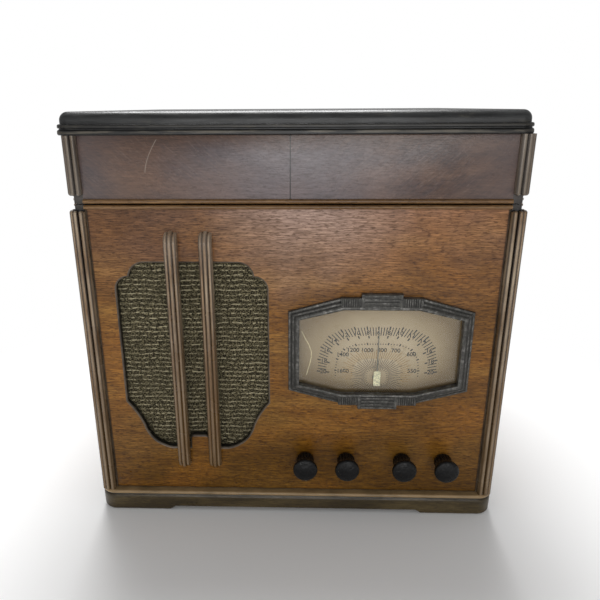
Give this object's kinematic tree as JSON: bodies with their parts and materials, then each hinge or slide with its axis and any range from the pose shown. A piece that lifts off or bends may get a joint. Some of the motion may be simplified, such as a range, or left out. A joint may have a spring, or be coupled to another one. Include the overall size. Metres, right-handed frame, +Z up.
{
  "type": "tabletop radio",
  "caption": "Wooden tabletop radio with a cloth grille behind reeded bars, a framed dial, front knobs, and a deep hinged lid over a record player.",
  "frame": {"origin": "on the table, under the middle of the object's outline", "axes": "+Z up, +X to the right seen from the front, -Y to the front"},
  "size_m": [0.4354, 0.399, 0.424],
  "materials": {
    "veneer": "lacquered figured walnut veneer",
    "moulding": "stained and lacquered hardwood moulding",
    "ebonised": "black-brown lacquered hardwood",
    "inner_wood": "bare plywood and softwood",
    "fibreboard": "pressed fibre board",
    "cloth": "woven grille cloth with gold slubs",
    "bronze": "dark oxidised bronze",
    "glass": "clear dial glass",
    "dial_paint": "printed and lacquered dial plate",
    "bakelite": "polished phenolic moulding",
    "steel": "plated steel",
    "nickel": "nickel plate",
    "can": "spun aluminium",
    "black_iron": "black stove enamel",
    "tube_glass": "clear glass with a silvered getter",
    "paper_cone": "pressed pulp",
    "flock": "dark red flocked felt",
    "enamel": "brown crackle enamel",
    "brass_plate": "brass plated steel",
    "rubber": "moulded rubber",
    "linen_cord": "waxed linen cord"
  },
  "bodies": {
    "case": {"front_panel": "veneer", "side_panel_left": "veneer", "side_panel_right": "veneer", "bottom_board": "inner_wood", "inner_rails": "inner_wood", "back_cover": "fibreboard", "cord_grommet": "rubber", "corner_post_left": "moulding", "corner_post_right": "moulding", "case_bead": "moulding", "plinth": "moulding", "grille_bars": "moulding", "grille_cloth": "cloth", "speaker_baffle": "inner_wood", "dial_escutcheon": "bronze", "dial_glass": "glass", "dial_plate": "dial_paint", "control_bodies": "steel", "chassis": "steel", "power_transformer": "black_iron", "if_cans": "can", "tubes": "tube_glass", "gang_frame": "can", "tuning_drive_cord": "linen_cord", "speaker_frame": "black_iron", "speaker_cone": "paper_cone", "motor_board": "veneer", "phono_motor": "black_iron", "tonearm_base": "enamel", "deck_fittings": "nickel", "stay_guide": "brass_plate", "hinge_case_leaves": "brass_plate", "cabinet_screws": "brass_plate"},
    "lid": {"lid_top_board": "ebonised", "lid_front_panel": "veneer", "lid_side_right": "veneer", "lid_side_left": "veneer", "lid_back_rail": "moulding", "lid_post_right": "moulding", "lid_post_left": "moulding", "lid_bead": "moulding", "lid_stay": "brass_plate", "hinge_lid_leaves": "brass_plate"},
    "volume_control": {"volume_knob": "bakelite", "volume_shaft": "steel"},
    "tone_control": {"tone_knob": "bakelite", "tone_shaft": "steel"},
    "tuning_control": {"tuning_knob": "bakelite", "tuning_shaft": "steel"},
    "band_switch": {"band_knob": "bakelite", "band_shaft": "steel"},
    "tuning_gang": {"gang_rotor": "can", "pointer": "dial_paint"},
    "turntable": {"turntable_platter": "enamel", "platter_mat": "flock", "spindle": "nickel"},
    "arm_swivel": {"tonearm_yoke": "nickel"},
    "pickup_arm": {"tonearm": "enamel", "pickup_head": "enamel"},
    "motor_switch": {"phono_switch_lever": "nickel"}
  },
  "joints": [
    {"name": "lid_hinge", "type": "hinge", "parent": "case", "child": "lid", "pos_m": [0, 0.1962, 0.341], "axis": [-1, 0, 0], "range_deg": [0, 72]},
    {"name": "volume_turn", "type": "hinge", "parent": "case", "child": "volume_control", "pos_m": [0.011, -0.1833, 0.0665], "axis": [0, 1, 0], "range_deg": [0, 290]},
    {"name": "tone_turn", "type": "hinge", "parent": "case", "child": "tone_control", "pos_m": [0.0548, -0.1833, 0.0665], "axis": [0, 1, 0], "range_deg": [0, 290]},
    {"name": "band_turn", "type": "hinge", "parent": "case", "child": "band_switch", "pos_m": [0.158, -0.1833, 0.0665], "axis": [0, 1, 0], "range_deg": [0, 60]},
    {"name": "tuning_turn", "type": "hinge", "parent": "case", "child": "tuning_control", "pos_m": [0.1142, -0.1833, 0.0665], "axis": [0, 1, 0], "range_deg": [-900, 900]},
    {"name": "gang_turn", "type": "hinge", "parent": "case", "child": "tuning_gang", "pos_m": [0.0845, -0.1533, 0.1595], "axis": [0, 1, 0], "range_deg": [-90, 90]},
    {"name": "platter_spin", "type": "hinge", "parent": "case", "child": "turntable", "pos_m": [-0.042, 0.0017, 0.335], "axis": [0, 0, -1], "continuous": true},
    {"name": "arm_swing", "type": "hinge", "parent": "case", "child": "arm_swivel", "pos_m": [0.15, 0.1167, 0.35], "axis": [0, 0, -1], "range_deg": [0, 45]},
    {"name": "arm_lift", "type": "hinge", "parent": "arm_swivel", "child": "pickup_arm", "pos_m": [0.15, 0.1167, 0.368], "axis": [-1, 0, 0], "range_deg": [0, 8]},
    {"name": "switch_throw", "type": "hinge", "parent": "case", "child": "motor_switch", "pos_m": [0.07, -0.1433, 0.3294], "axis": [-1, 0, 0], "range_deg": [0, 30]}
  ],
  "couplings": [
    {"joint": "gang_turn", "follows": "tuning_turn", "ratio": 0.1}
  ]
}
